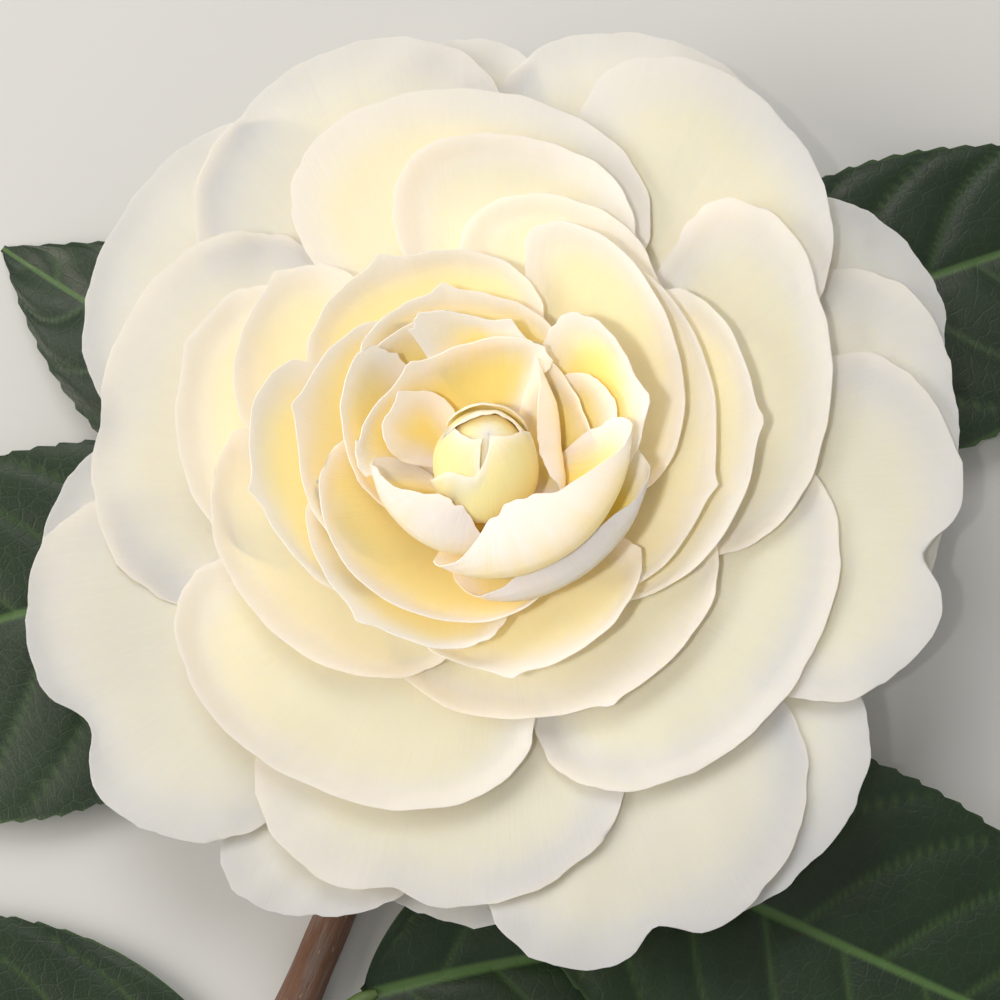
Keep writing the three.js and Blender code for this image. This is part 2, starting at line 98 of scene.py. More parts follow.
PETALS = (
    # The fringe: broad, flat petals that open fully.
    Petal(31, 52, 22, -2), Petal(-6, 47, 19, 0), Petal(-99, 45.5, 17, 2),
    Petal(97, 51.5, 17, -1), Petal(-50, 51.5, 26, -2), Petal(190, 50.5, 24, 2.5),
    Petal(-112, 48.5, 18, -7), Petal(140, 52.5, 30, 0), Petal(12, 50.5, 25, 1),
    Petal(69, 54, 25, 0), Petal(114, 53, 29, -1.5, nicks=((124, 0.8),)),
    Petal(-152, 53.5, 30, -1, nicks=((-151, 3.5),)), Petal(-64, 51.5, 30, -3, nicks=((-70, 3.5),)),
    Petal(-8, 49.5, 31, 2, nicks=((-9, 4),)), Petal(51, 50.5, 27, 6.5),
    Petal(-99, 44.5, 36, -2, nicks=((-105, 1.5),)), Petal(163, 45, 38, 0, nicks=((168, 0.7),)),
    Petal(93, 44, 36, 3),
    # The dish: petals that stand up at a low angle.
    Petal(-36, 38, 45, 1.5, 0.6), Petal(16, 38, 38, 9, 0.6, nicks=((30, 0.6),)),
    Petal(-123, 37.5, 44, -4, 0.6), Petal(84, 38.5, 27, 2, 0.6), Petal(71, 32, 28, 1.5, 0.6),
    Petal(169, 34.5, 35, -5, 0.6, point=154), Petal(-71, 25.5, 64, 3, 0.6, point=-62),
    Petal(-4, 26.5, 52, 8, 0.6, point=12), Petal(213, 28, 48, -6, 0.6),
    Petal(9, 24.5, 66, 6.5, 0.6, point=-2), Petal(33, 24, 49, 7.5, 0.6),
    Petal(149, 31, 26, -3, 0.6, point=135),
    # The cup: steeper petals round the heart.
    Petal(113, 25, 43, 1, 0.6, point=116), Petal(189, 24, 43, -3.5, 0.6, point=185),
    Petal(-74, 20.5, 52, 0.5, 0.6, point=-84), Petal(-133, 20, 53, -0.5, 0.5, point=-130),
    Petal(170, 20, 56, -2.5, 0.6, point=161), Petal(97, 19, 49, 2, 0.6, point=103),
    Petal(-122, 17, 78, -2, 0.6), Petal(120, 17.5, 40, 1, 0.6), Petal(168, 15.5, 41, -4, 0.6),
    # The heart: petals that wrap the bud.
    Petal(-51, 14.2, 62, 2.7, 0.1, point=-112, lean=2.5, rise=3), Petal(26, 18, 39, 3, 0.5, point=20),
    Petal(31, 15, 23, 0, 0.3), Petal(55, 13, 62, 2.5, 0.5, point=79, flat=4),
    Petal(-51, 12, 72, 2.6, 0.1, point=-119, lean=6.4, rise=4.5, flat=0.9),
    Petal(120, 13, 66, 0, 0.6, point=126, flat=3),
    Petal(20, 7, 46, 1.75, 0.5, lean=0.8, rise=5, flat=3.2),
    Petal(232, 9.4, 60, -2, 0.1, point=183, lean=3.8, rise=4.2, flat=-0.2),
    Petal(146, 11.3, 27, 0.7, 0.3, point=139),
)

TWIG_HEADING = math.radians(247)
TWIG_LENGTH, TWIG_BEND = 80, 20
TWIG_TIP_RADIUS, TWIG_CUT_RADIUS = 1.9, 2.5
TWIG_LYING = TWIG_CUT_RADIUS * math.cos(math.pi / 10)
NODE_SWELLING = 0.35
TWIG_START = 8.7
TWIG_START_RINGS, TWIG_END_RINGS = 6, 14     # rings that shrink onto the centre of each end
TWIG_LAST_RING = 0.03      # the smallest of them, as a share of the twig's radius
BARK_INSET = 0.02          # keeps the bark just inside its solid
FURROW_COUNTS = (5, 7, 9, 13, 17)            # of the furrow patterns laid over each other


class Leaf(NamedTuple):
    """Angles in degrees, the rest in millimetres from under the bloom's axis."""
    node: float            # how far out along the twig it joins
    foot: tuple            # where its blade starts
    heading: float
    swing: float           # how far its midrib turns by the tip
    length: float
    breadth: tuple         # half width left and right of the midrib
    heights: tuple         # of the midrib at its foot, middle and tip


LEAVES = (
    Leaf(14, (-12, -3.5), 184, 22, 90, (24, 18.5), (4.6, 2.6, 0.5)),
    Leaf(0.5, (4, 8), 26, -12, 90, (15, 20), (6.4, 3.6, 0.5)),
    Leaf(27, (-2.6, -29.2), -26, 3, 92, (20, 21), (5.2, 5.2, 0.5)),
    Leaf(60, (-15.5, -53), 16, -24, 66, (17, 17), (2.2, 1.2, 0.5)),
    Leaf(7, (-6, 3.5), 158, -14, 60, (14.5, 14.5), (7.2, 5.8, 0.5)),
    Leaf(64, (-31, -59), 180, 24, 84, (20, 19), (2.2, 1.3, 0.5)),
)
LEAF_FOLD = 0.06
LEAF_ROW, LEAF_COLUMNS = 0.46, 46     # spacing of the points along a blade, and their number across
STALK_RINGS, STALK_SIDES = 22, 16


# ---- What a user would change ----

def length(name, description, default):
    return FloatProperty(name=name, description=description, default=default, min=0, unit="LENGTH")


def colour(name, description, default):
    return FloatVectorProperty(name=name, description=description, default=default, min=0, max=1,
                               size=3, subtype="COLOR")


def power(name, description, default):
    return FloatProperty(name=name, description=description, default=default, min=0, unit="POWER")


class BloomSettings(PropertyGroup):
    grid: length("Grid", "Spacing of the points on a petal", 0.85 * MM)
    thickness: length("Thickness", "Of a petal in its middle", 0.32 * MM)
    rim: length("Rim", "Thickness of a petal at its rim", 0.12 * MM)
    ruffle: length("Ruffle", "How far a petal's outline strays from a smooth curve", 0.4 * MM)
    wave: length("Wave", "How far a petal's surface strays from a smooth bowl", 0.2 * MM)
    point: length("Point", "Length of the small point on a petal's rim", 0.9 * MM)
    # White and Bright white are one petal white split in two: the open petals get a darker copy as
    # painted shade, and the inner petals a brighter copy as painted light.
    white: colour("White", "Of the open petals", (0.905, 0.853, 0.738))
    bright: colour("Bright white", "Of the rims of the inner petals", (0.975, 0.918, 0.800))
    cream: colour("Cream", "Of the petals' lower parts", (0.985, 0.835, 0.545))
    gold: colour("Gold", "Of the foot of the petals in the heart", (0.990, 0.680, 0.195))
    sepal: colour("Sepal", "Of the calyx", (0.13, 0.17, 0.05))


class LeafSettings(PropertyGroup):
    thickness: length("Thickness", "Of a leaf in its middle", 0.42 * MM)
    tooth_pitch: length("Tooth pitch", "From one tooth on the margin to the next", 2.6 * MM)
    tooth_depth: length("Tooth depth", "Of a tooth on the margin", 0.4 * MM)
    vein_pitch: length("Vein pitch", "From one side vein to the next along the midrib", 9.5 * MM)
    quilting: length("Quilting", "How far the blade bulges between side veins", 0.28 * MM)
    blade: colour("Blade", "Of the upper side", (0.0060, 0.0190, 0.0060))
    vein: colour("Vein", "Of the midrib and the side veins", (0.045, 0.095, 0.025))
    under: colour("Underside", "Of the lower side", (0.085, 0.16, 0.05))


class TwigSettings(PropertyGroup):
    rings: IntProperty(name="Rings", description="Rings of points along the twig", default=210, min=20)
    sides: IntProperty(name="Sides", description="Points round the twig", default=44, min=8)
    relief: length("Relief", "Depth of the bark's furrows", 0.09 * MM)
    bark: colour("Bark", "Of the twig", (0.16, 0.075, 0.045))
    wood: colour("Wood", "Of the cut end", (0.62, 0.47, 0.27))


class StageSettings(PropertyGroup):
    floor: colour("Floor", "Of the plain floor", (0.69, 0.70, 0.71))
    key: power("Key light", "Of the lamp at the bloom's left", 3.45)
    top: power("Top light", "Of the lamp above the bloom's far edge", 2.4)
    spot: power("Spot", "Of the soft spot on the heart", 6.6)
    fill: FloatProperty(name="Fill", description="Strength of the light from all round",
                        default=0.385, min=0)
    lens: FloatProperty(name="Lens", description="Focal length of the camera", default=110.5, min=1,
                        unit="CAMERA")


# ---- Shader building ----

class Channel:
    """A value in a material that ordinary arithmetic works on."""

    def __init__(self, finish, socket):
        self.finish, self.socket = finish, socket

    def maths(self, operation, *others):
        return self.finish.add("ShaderNodeMath", {"operation": operation}, dict(enumerate(others)))

    def __add__(self, other):
        return self.maths("ADD", self, other)

    __radd__ = __add__

    def __sub__(self, other):
        return self.maths("SUBTRACT", self, other)

    def __rsub__(self, other):
        return self.maths("SUBTRACT", other, self)

    def __mul__(self, other):
        return self.maths("MULTIPLY", self, other)

    __rmul__ = __mul__

    def __truediv__(self, other):
        return self.maths("DIVIDE", self, other)

    def __rtruediv__(self, other):
        return self.maths("DIVIDE", other, self)

    def between(self, low, high):
        """0 below low, 1 above high, and a smooth step between them."""
        return self.finish.add("ShaderNodeMapRange", {"interpolation_type": "SMOOTHSTEP"},
                               {"Value": self, "From Min": low, "From Max": high})


class Finish:
    """A node material, and the one way that nodes are added to it."""

    def __init__(self, name):
        self.material = bpy.data.materials.new(name)
        self.material.use_nodes = True
        self.tree = self.material.node_tree
        self.tree.nodes.clear()

    def add(self, kind, settings=None, sockets=None, output=0):
        """Adds a node, with its settings first, and gives its output as a Channel."""
        node = self.tree.nodes.new(kind)
        for name, value in (settings or {}).items():
            setattr(node, name, value)
        for name, value in (sockets or {}).items():
            if isinstance(value, Channel):
                self.tree.links.new(value.socket, node.inputs[name])
            else:
                node.inputs[name].default_value = value
        return Channel(self, node.outputs[output]) if len(node.outputs) else None

    def attribute(self, name):
        """The three channels of an attribute that the meshes carry."""
        vector = self.add("ShaderNodeAttribute", {"attribute_name": name}, output="Vector")
        return vector, [self.add("ShaderNodeSeparateXYZ", None, {0: vector}, output=axis)
                        for axis in "XYZ"]

    def blend(self, share_of_second, first, second, how="MIX"):
        """A mix of two colours."""
        def solid(value):
            return value if isinstance(value, Channel) else (*value, 1.0)
        return self.add("ShaderNodeMix", {"data_type": "RGBA", "blend_type": how},
                        {0: share_of_second, 6: solid(first), 7: solid(second)}, output=2)

    def stretch(self, vector, x, y, z):
        return self.add("ShaderNodeVectorMath", {"operation": "MULTIPLY"}, {0: vector, 1: (x, y, z)})

    def noise(self, vector, scale, detail=3.0, roughness=0.55):
        return self.add("ShaderNodeTexNoise", None,
                        {"Vector": vector, "Scale": scale, "Detail": detail, "Roughness": roughness})

    def bump(self, height, distance, strength=1.0):
        return self.add("ShaderNodeBump", None,
                        {"Height": height, "Distance": distance, "Strength": strength})

    def surface(self, sockets):
        shader = self.add("ShaderNodeBsdfPrincipled", None, sockets)
        self.add("ShaderNodeOutputMaterial", None, {"Surface": shader})
        return self.material


# ---- Meshes ----

def grid_faces(columns, rows):
    """Quads of a grid whose points are numbered row by row, seen from above."""
    corner = np.arange(rows)[:, None] * (columns + 1) + np.arange(columns)[None, :]
    corner = corner.ravel()
    return np.stack([corner, corner + 1, corner + columns + 2, corner + columns + 1], axis=1)


def grid_normals(points):
    """A unit normal at each point of a grid, from the faces round it."""
    along, across = points[1:] - points[:-1], points[:, 1:] - points[:, :-1]
    face = np.cross(across[:-1] + across[1:], along[:, :-1] + along[:, 1:])
    normal = np.zeros_like(points)
    for rows in (slice(None, -1), slice(1, None)):
        for columns in (slice(None, -1), slice(1, None)):
            normal[rows, columns] += face
    return normal / np.maximum(np.linalg.norm(normal, axis=2, keepdims=True), 1e-12)


def grid_rim(columns, rows):
    """The numbers of the points round a grid's edge, in order."""
    width = columns + 1
    return np.concatenate([
        np.arange(columns), np.arange(rows) * width + columns,
        rows * width + np.arange(columns, 0, -1), np.arange(rows, 0, -1) * width])


def tube_faces(rings, sides, start=0):
    """Faces of a tube whose points are numbered ring by ring, with its two ends closed."""
    ring = np.arange(rings - 1)[:, None] * sides
    point = np.arange(sides)[None, :]
    after = (point + 1) % sides
    quads = np.stack([ring + point, ring + after, ring + sides + after, ring + sides + point], axis=2)
    first = list(range(start, start + sides))
    last = list(range(start + (rings - 1) * sides, start + rings * sides))
    return (quads.reshape(-1, 4)[:, ::-1] + start).tolist() + [first, last[::-1]]


def blade_mesh(middle, thickness):
    """Points and quads of a thin closed body round a grid, its upper side first."""
    normal = grid_normals(middle)
    half = thickness[..., None] / 2
    rows, columns = middle.shape[0] - 1, middle.shape[1] - 1
    upper = (middle + normal * half).reshape(-1, 3)
    lower = (middle - normal * half).reshape(-1, 3)
    size = len(upper)
    top = grid_faces(columns, rows)
    rim = grid_rim(columns, rows)
    after = np.roll(rim, -1)
    edge = np.stack([rim, rim + size, after + size, after], axis=1)
    return np.concatenate([upper, lower]), np.concatenate([top, top[:, ::-1] + size, edge])


def on_both_sides(*channels):
    """Three values for each point of a grid, given for its upper and its lower side."""
    return np.tile(np.stack(np.broadcast_arrays(*channels), axis=2).reshape(-1, 3), (2, 1))


class Blades:
    """Thin bodies round the bloom's axis that make one piece."""

    def __init__(self):
        self.points, self.quads, self.grain, self.place, self.size = [], [], [], [], 0

    def add(self, middle, thickness, grain, place):
        points, quads = blade_mesh(middle + BLOOM, thickness)
        self.points.append(points)
        self.quads.append(quads + self.size)
        self.size += len(points)
        self.grain.append(on_both_sides(*grain))
        self.place.append(on_both_sides(*place))

    def finish(self, name, material, replaced, slot):
        attributes = {"grain": np.concatenate(self.grain), "place": np.concatenate(self.place)}
        add_piece(name, np.concatenate(self.points), np.concatenate(self.quads), material, attributes,
                  replaced)


def add_piece(name, points, quads, material, attributes, replaced):
    """Makes an object from points in millimetres, and rides it on the sprig."""
    mesh = bpy.data.meshes.new(name)
    mesh.from_pydata((np.asarray(points) * MM).tolist(), [], [list(face) for face in quads])
    for title, values in attributes.items():
        layer = mesh.attributes.new(title, "FLOAT_VECTOR", "POINT")
        layer.data.foreach_set("vector", np.asarray(values, dtype=np.float32).ravel())
    mesh.validate()
    mesh.shade_smooth()
    mesh.set_sharp_from_angle(angle=math.radians(55))
    mesh.materials.append(material)
    piece = bpy.data.objects.new(name, mesh)
    bpy.context.scene.collection.objects.link(piece)
    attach(piece, "root")
    if replaced:
        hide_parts(*replaced)
    return piece


def smooth(low, high, value):
    share_in = np.clip((value - low) / (high - low), 0, 1)
    return share_in * share_in * (3 - 2 * share_in)


def mix(first, second, share_of_second):
    return first + (second - first) * share_of_second


def ripple(rng, around, turns):
    """A sum of sines of random phase, of about unit height."""
    total = 0
    for count in turns:
        total = total + np.sin(around * count + rng.uniform(0, 2 * math.pi)) * rng.uniform(0.5, 1)
    return total / len(turns) ** 0.5


# ---- Petals ----

OPEN_PETALS = 30           # the first petals of the table, in the fringe and the dish
# Levels over which the petals turn cream and their white steps from the darker painted-shade copy to the
# brighter painted-light copy; then the levels over which the heart's feet turn gold.
CREAM_AND_PAINTED_LIGHT_LEVELS, GOLD_LEVELS = (-3, 10), (7, 20)


def shell_at(level):
    radius, height, bend = (np.interp(level, SHELLS[:, 0], SHELLS[:, i]) for i in (1, 2, 3))
    return CORE_RADIUS - LEVEL_INSET * level, CORE_FOOT + LEVEL_RISE * level, radius, height, bend


def shell_height(shell, at):
    inner_radius, inner_height, radius, height, bend = shell
    out = (at - inner_radius) / (radius - inner_radius)
    return inner_height + (height - inner_height) * ((1 - bend) * out + bend * out * out)


def petal_levels(petals):
    levels = []
    for petal in petals:
        level = 0
        for other, below in zip(petals, levels):
            apart = abs((other.turn - petal.turn + 180) % 360 - 180)
            if apart < other.spread + petal.spread + OVERLAP_MARGIN:
                level = max(level, below + 1)
        levels.append(level)
    return levels


def clustered(count):
    """Steps from 0 to 1 with an extra one close to each end."""
    steps = np.linspace(0, 1, count + 1)
    near = 0.12 / count
    return np.concatenate([[0, near], steps[1:-1], [1 - near, 1]])


def petal_middle(petal, level, settings, rng, spacing):
    """The middle surface of a petal as a grid, and where each point lies on it."""
    shell = shell_at(level)
    foot = shell[0] + FOOT_GAP
    shoulder = foot + SHOULDER * (petal.reach - foot)
    tip = petal.reach + petal.rise
    wide = 2 * math.radians(petal.spread) * (shoulder + tip) / 2
    tall = math.hypot(tip - foot, shell_height(shell, petal.reach) - shell[1])
    columns, rows = max(16, round(wide / spacing)), max(16, round(tall / spacing))
    u = clustered(columns)
    v = clustered(rows)[1:]
    v[0] = 0
    u, v = np.meshgrid(u, v)

    # A narrow neck, and above it a square grid bent into the half round of the rim.
    side = 2 * u - 1
    out = np.clip((v - NECK_ROWS) / (1 - NECK_ROWS), 0, 1)
    neck = np.clip(v / NECK_ROWS, 0, 1)
    x, y = side * np.sqrt(1 - out * out / 2), out * np.sqrt(1 - side * side / 2)
    square = (np.abs(x) ** RIM_POWER + y ** RIM_POWER) ** (1 / RIM_POWER)
    scale = np.hypot(x, y) / np.maximum(square, 1e-9)
    side = np.where(out > 0, x * scale, side)
    out = np.where(out > 0, y * scale, 0)

    # How near each point is to the rim, as a share and in millimetres.
    nearness = (np.abs(side) ** RIM_POWER + out ** RIM_POWER) ** (1 / RIM_POWER)
    upper = tall * (1 - SHOULDER)
    from_rim = (1 - nearness) / np.maximum(nearness, 0.05) * np.hypot(side * wide / 2, out * upper)
    from_rim = np.where(out > 0, from_rim, (1 - np.abs(side)) * wide / 2)
    from_rim = np.minimum(from_rim, (1 - out) * upper + (1 - neck) * (tall - upper))

    # The outline's ruffles, finer and freer on the outer petals.
    around = np.arctan2(side, out + 0.35)
    ruffle = ripple(rng, around, (3, 5)) + 0.35 * ripple(rng, around, (9, 14, 23, 37))
    fine = rng.spawn(1)[0]
    free = np.interp(level, (4, 9), (1.6, 1))
    ruffle = ruffle + 0.2 * (free - 1) * ripple(fine, around, (53, 71, 97))
    size = tip - shoulder + 3
    grow = 1 + ruffle * free * settings.ruffle / MM / size * nearness ** 4 * neck
    side, out = side * grow, out * grow

    # The blade widens from its foot on the receptacle, and ends with its notches and its point.
    foot_share = min(FOOT_SHARE, math.degrees(FOOT_HALF_WIDTH / foot) / petal.spread)
    width = foot_share + (1 - foot_share) * np.sin(neck * math.pi / 2)
    turn = petal.turn + petal.spread * side * width
    skew = petal.skew * side * neck
    radius = foot + (shoulder - foot) * neck + (tip - shoulder) * out
    for nick, depth in petal.nicks:
        radius -= depth * np.exp(-((turn - nick) / NICK_HALF_ANGLE) ** 2) * nearness ** 6
    if petal.point is not None:
        aside = np.radians(turn - petal.point) * tip
        radius += settings.point / MM * np.exp(-np.abs(aside / 1.1) ** 1.3) * nearness ** 8

    # It follows the bowl of its level. Petals in the heart then rise and lean in over the bud.
    beyond = np.maximum(0, radius - petal.reach) if petal.rise else 0 * radius
    skew = skew + petal.flat * side * side * neck
    height = shell_height(shell, radius - beyond + skew)
    if petal.rise:
        up = beyond / petal.rise
        height += petal.rise * up * (1.25 - 0.25 * up)
        radius -= (petal.rise + petal.lean * (1 - side ** 4)) * up ** 2
    radius += skew
    angle = np.radians(turn)
    middle = np.stack([radius * np.cos(angle), radius * np.sin(angle), height], axis=2)

    # The rim rolls out after a shallow dip, and the blade waves.
    roll = petal.roll * (smooth(2.8, 0, from_rim) ** 1.3
                         - 0.5 * smooth(9, 3.5, from_rim) * smooth(0, 3, from_rim)) * neck
    wave = nearness ** 2 * ripple(rng, around, (4, 7)) + 0.8 * out * ripple(rng, around, (1.5, 2.5))
    wave = wave + 0.5 * (free - 1) * nearness ** 3 * ripple(fine, around + 0.1 * out, (11, 17, 26))
    room = np.interp(level, (0, 5, 9, 15, 22), (1.7, 1.9, 2.1, 1.5, 1.0))
    swell = 0.05 * free * ripple(rng, side * 9, (1, 2)) * ripple(rng, out * 5, (1, 1.6))
    lift = neck * (wave * room * settings.wave / MM + swell) - roll
    middle += grid_normals(middle) * lift[..., None]
    return middle, np.radians(turn - petal.turn), from_rim


# How light passes through the tissue of petals and receptacle.
TISSUE = {"Subsurface Weight": 0.7, "Subsurface Radius": (1.0, 0.82, 0.48), "Subsurface Scale": 0.0014}


def petal_finish(settings):
    finish = Finish("petal_skin")
    grain, _ = finish.attribute("grain")
    _, (from_rim, cream_and_painted_light, golden) = finish.attribute("place")
    streaks = finish.noise(finish.stretch(grain, 95, 0.16, 5), 1.0, 3.0)
    veins = finish.noise(finish.stretch(grain, 34, 0.07, 5), 1.0, 2.0)
    cells = finish.noise(finish.stretch(grain, 260, 6.0, 5), 1.0, 2.0)
    cloud = finish.noise(finish.stretch(grain, 5, 0.11, 7), 1.0, 2.0)

    depth = from_rim + (cloud - 0.5) * 2.0
    cream = (depth / (13 - cream_and_painted_light * 9)).between(0.0, 1.0) * cream_and_painted_light
    gold = depth.between(0.1, 5.0) * golden
    # Painted light and shade: the inner petals get the brighter white and the open petals the darker
    # one.
    tint = finish.blend(cream_and_painted_light.between(0.2, 1.0), settings.white, settings.bright)
    tint = finish.blend(cream, tint, settings.cream)
    tint = finish.blend(gold * 0.95, tint, settings.gold)
    shade = (streaks - 0.5) * 0.03 + (veins - 0.5) * 0.03 + (cells - 0.5) * 0.05 + 0.995
    grey = finish.add("ShaderNodeCombineColor", None, {0: shade, 1: shade, 2: shade})
    tint = finish.blend(1.0, tint, grey, "MULTIPLY")
    height = streaks * 0.5 + veins * 0.9 + cells * 0.16
    return finish.surface({
        "Base Color": tint,
        "Roughness": 0.55 + (cells - 0.5) * 0.16 + (streaks - 0.5) * 0.1,
        "Normal": finish.bump(height, 0.00010, 0.38),
        "Specular IOR Level": 0.3, "Sheen Weight": 0.04, "Sheen Roughness": 0.4, **TISSUE,
    })


class CAMELLIA_OT_petals(Operator):
    """Builds each petal as a thin veined blade over its solid"""
    bl_idname = "camellia.petals"
    bl_label = "Petals"

    def execute(self, context):
        settings = context.scene.camellia_bloom
        material = petal_finish(settings)
        spacing = settings.grid / MM
        levels = petal_levels(PETALS)
        for number, (petal, level) in enumerate(zip(PETALS, levels), 1):
            rng = np.random.default_rng(PETAL_SEED + number)
            middle, across, from_rim = petal_middle(petal, level, settings, rng, spacing)
            thick = mix(settings.rim, settings.thickness, smooth(0, 7, from_rim)) / MM
            out = np.hypot(middle[..., 0], middle[..., 1])
            blade = Blades()
            blade.add(middle, thick, (across, out, float(number)),
                      (from_rim, smooth(*CREAM_AND_PAINTED_LIGHT_LEVELS, level), smooth(*GOLD_LEVELS, level)))
            name = f"petal_{number:02d}"
            blade.finish(f"bloom_{name}", material, [name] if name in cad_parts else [],
                         "petal" if number <= OPEN_PETALS else "heart_petal")
        return {"FINISHED"}


# ---- Bud ----

class Wrap(NamedTuple):
    """A petal of the bud, as a part of an egg round the bloom's axis."""
    size: float            # share of the bud's full size
    rim: tuple             # (turn, latitude) of points along its rim, in degrees
    roll: float            # how far its rim rolls outwards, millimetres


BUD_CENTRE, BUD_RADIUS, BUD_HALF_HEIGHT = 23.4, 5.5, 5.1
BUD_LEAN = np.array([0.7, 2.6])
BUD_FOOT, BUD_TOP = -62, 89.5     # latitudes, in degrees
WRAP_COLUMNS, WRAP_ROWS = 72, 40
WRAPS = (
    Wrap(0.84, ((-90, 95), (270, 95)), 0),
    Wrap(0.94, ((14, 40), (22, 50), (34, 58), (50, 65), (80, 70), (115, 69), (144, 62), (154, 45),
                (162, 25)), 0.8),
    Wrap(0.95, ((138, 12), (148, 42), (159, 55), (180, 67), (204, 79), (228, 80), (246, 70),
                (258, 52), (266, 15)), 0.1),
    Wrap(1.00, ((190, -5), (197, 12), (203, 28), (209, 38), (231, 44), (252, 52), (265, 66), (280, 84),
                (335, 84), (355, 74), (374, 56), (383, 42), (393, 12)), 0.15),
    Wrap(1.05, ((40, 25), (46, 40), (58, 50), (75, 55), (105, 55), (124, 46), (132, 30)), 0.5),
)


def wrap_middle(wrap, rng):
    """The middle surface of a petal of the bud as a grid, and where each point lies on it."""
    u, v = np.meshgrid(clustered(WRAP_COLUMNS), clustered(WRAP_ROWS)[1:])
    side = 2 * u - 1
    first, last = wrap.rim[0][0], wrap.rim[-1][0]
    turns = np.linspace(first, last, 200)
    rims = np.interp(turns, *zip(*wrap.rim))
    rims = np.convolve(np.pad(rims, 3, "edge"), np.full(7, 1 / 7), "valid")
    turn = mix(first, last, u)
    rim = np.interp(turn, turns, rims) + 2 * ripple(rng, turn / 14, (1, 2.3))
    latitude = np.radians(mix(BUD_FOOT, np.minimum(rim, BUD_TOP), v))
    angle = np.radians(mix((first + last) / 2, turn, mix(0.6, 1, smooth(0, 0.5, v))))
    size = wrap.size * (1 + 0.03 * ripple(rng, angle, (2, 3, 5)) * np.cos(latitude))
    radius = BUD_RADIUS * size * np.cos(latitude)
    height = BUD_CENTRE + BUD_HALF_HEIGHT * (0.2 + 0.8 * wrap.size) * np.sin(latitude)
    lean = BUD_LEAN[:, None, None] * np.maximum(0, np.sin(latitude)) ** 1.5
    nearness = np.maximum(np.abs(side), v)
    middle = np.stack([radius * np.cos(angle) + lean[0], radius * np.sin(angle) + lean[1], height],
                      axis=2)
    from_rim = np.minimum((1 - np.abs(side)) * math.radians(last - first) * 2, (1 - v) * 9)
    roll = wrap.roll * smooth(0.82, 1, v) * (1 - side ** 4)
    middle += grid_normals(middle) * roll[..., None]
    return middle, nearness, angle, from_rim


class CAMELLIA_OT_bud(Operator):
    """Builds the bud in the heart from petals that wrap each other"""
    bl_idname = "camellia.bud"
    bl_label = "Bud"

    def execute(self, context):
        settings = context.scene.camellia_bloom
        material = bpy.data.materials["petal_skin"]
        blades = Blades()
        for number, wrap in enumerate(WRAPS):
            rng = np.random.default_rng(BUD_SEED + number)
            middle, nearness, across, from_rim = wrap_middle(wrap, rng)
            thick = mix(settings.thickness, settings.rim, nearness ** 4) / MM
            blades.add(middle, thick, (across, 10 - from_rim, 60.0 + number),
                       (1.5 + 1.5 * from_rim, 1.0, 0.7))
        blades.finish("bloom_bud", material, ["bud"], "heart_petal")
        return {"FINISHED"}


# ---- Calyx ----

SEPALS, SEPAL_LAYERS = 9, 3
GOLDEN_ANGLE = 137.5
SEPAL_FOOT, SEPAL_REACH, LAYER_REACH = 2.2, 8.4, 2.0
SEPAL_SPREAD, LAYER_SPREAD = 42, -4     # half a sepal's width, in degrees
SEPAL_THICKNESS, SEPAL_RIM = 0.28, 0.12
SEPAL_CELLS = 22


def sepal_finish(settings):
    finish = Finish("sepal_skin")
    grain, _ = finish.attribute("grain")
    _, (_, _, nearness) = finish.attribute("place")
    streaks = finish.noise(finish.stretch(grain, 40, 0.25, 5), 1.0, 3.0)
    mottle = finish.noise(finish.stretch(grain, 6, 0.7, 3), 1.0, 3.0)
    green = [channel * 1.5 for channel in settings.sepal]
    tint = finish.blend(mottle.between(0.35, 0.7), settings.sepal, green)
    tint = finish.blend(nearness.between(0.8, 1.0) * 0.7, tint, (0.42, 0.36, 0.20))
    tint = finish.blend(streaks.between(0.55, 0.75) * 0.4, tint, (0.10, 0.07, 0.03))
    return finish.surface({
        "Base Color": tint, "Roughness": 0.55 + (streaks - 0.5) * 0.2,
        "Normal": finish.bump(streaks + mottle * 0.5, 0.00015, 0.7),
        "Specular IOR Level": 0.4, "Sheen Weight": 0.15,
    })


class CAMELLIA_OT_calyx(Operator):
    """Builds the overlapping sepals under the bloom, and finishes the receptacle"""
    bl_idname = "camellia.calyx"
    bl_label = "Calyx"

    def execute(self, context):
        settings = context.scene.camellia_bloom
        material = sepal_finish(settings)
        blades = Blades()
        for number in range(SEPALS):
            rng = np.random.default_rng(SEPAL_SEED + number)
            layer = number % SEPAL_LAYERS
            turn = math.radians(number * GOLDEN_ANGLE)
            reach = SEPAL_REACH + LAYER_REACH * layer
            spread = math.radians(SEPAL_SPREAD + LAYER_SPREAD * layer)
            u, v = np.meshgrid(clustered(SEPAL_CELLS), clustered(SEPAL_CELLS)[1:])
            side = 2 * u - 1
            rounded = np.sqrt(np.maximum(0, 1 - (np.abs(side) ** 2.2) * v ** 2 * 0.75))
            radius = mix(SEPAL_FOOT, reach, v * rounded)
            angle = turn + spread * side * mix(0.9, 1, v) * np.sqrt(np.clip(1.15 - v ** 6 * 0.6, 0, 1))
            nearness = np.maximum(np.abs(side), v)
            height = 0.12 + 0.2 * layer + 0.10 * np.maximum(0, radius - 6)
            height = height + 0.04 * ripple(rng, angle * 4, (1, 2))
            middle = np.stack([radius * np.cos(angle), radius * np.sin(angle), height], axis=2)
            blades.add(middle, mix(SEPAL_THICKNESS, SEPAL_RIM, nearness ** 4),
                       (side * spread, v * reach, float(number)), (v, 0.0, nearness))
        blades.finish("bloom_sepals", material, ["calyx"], "calyx")
        skins = bpy.data.objects["receptacle"].data.materials
        skins.clear()
        skins.append(receptacle_finish(settings))
        return {"FINISHED"}


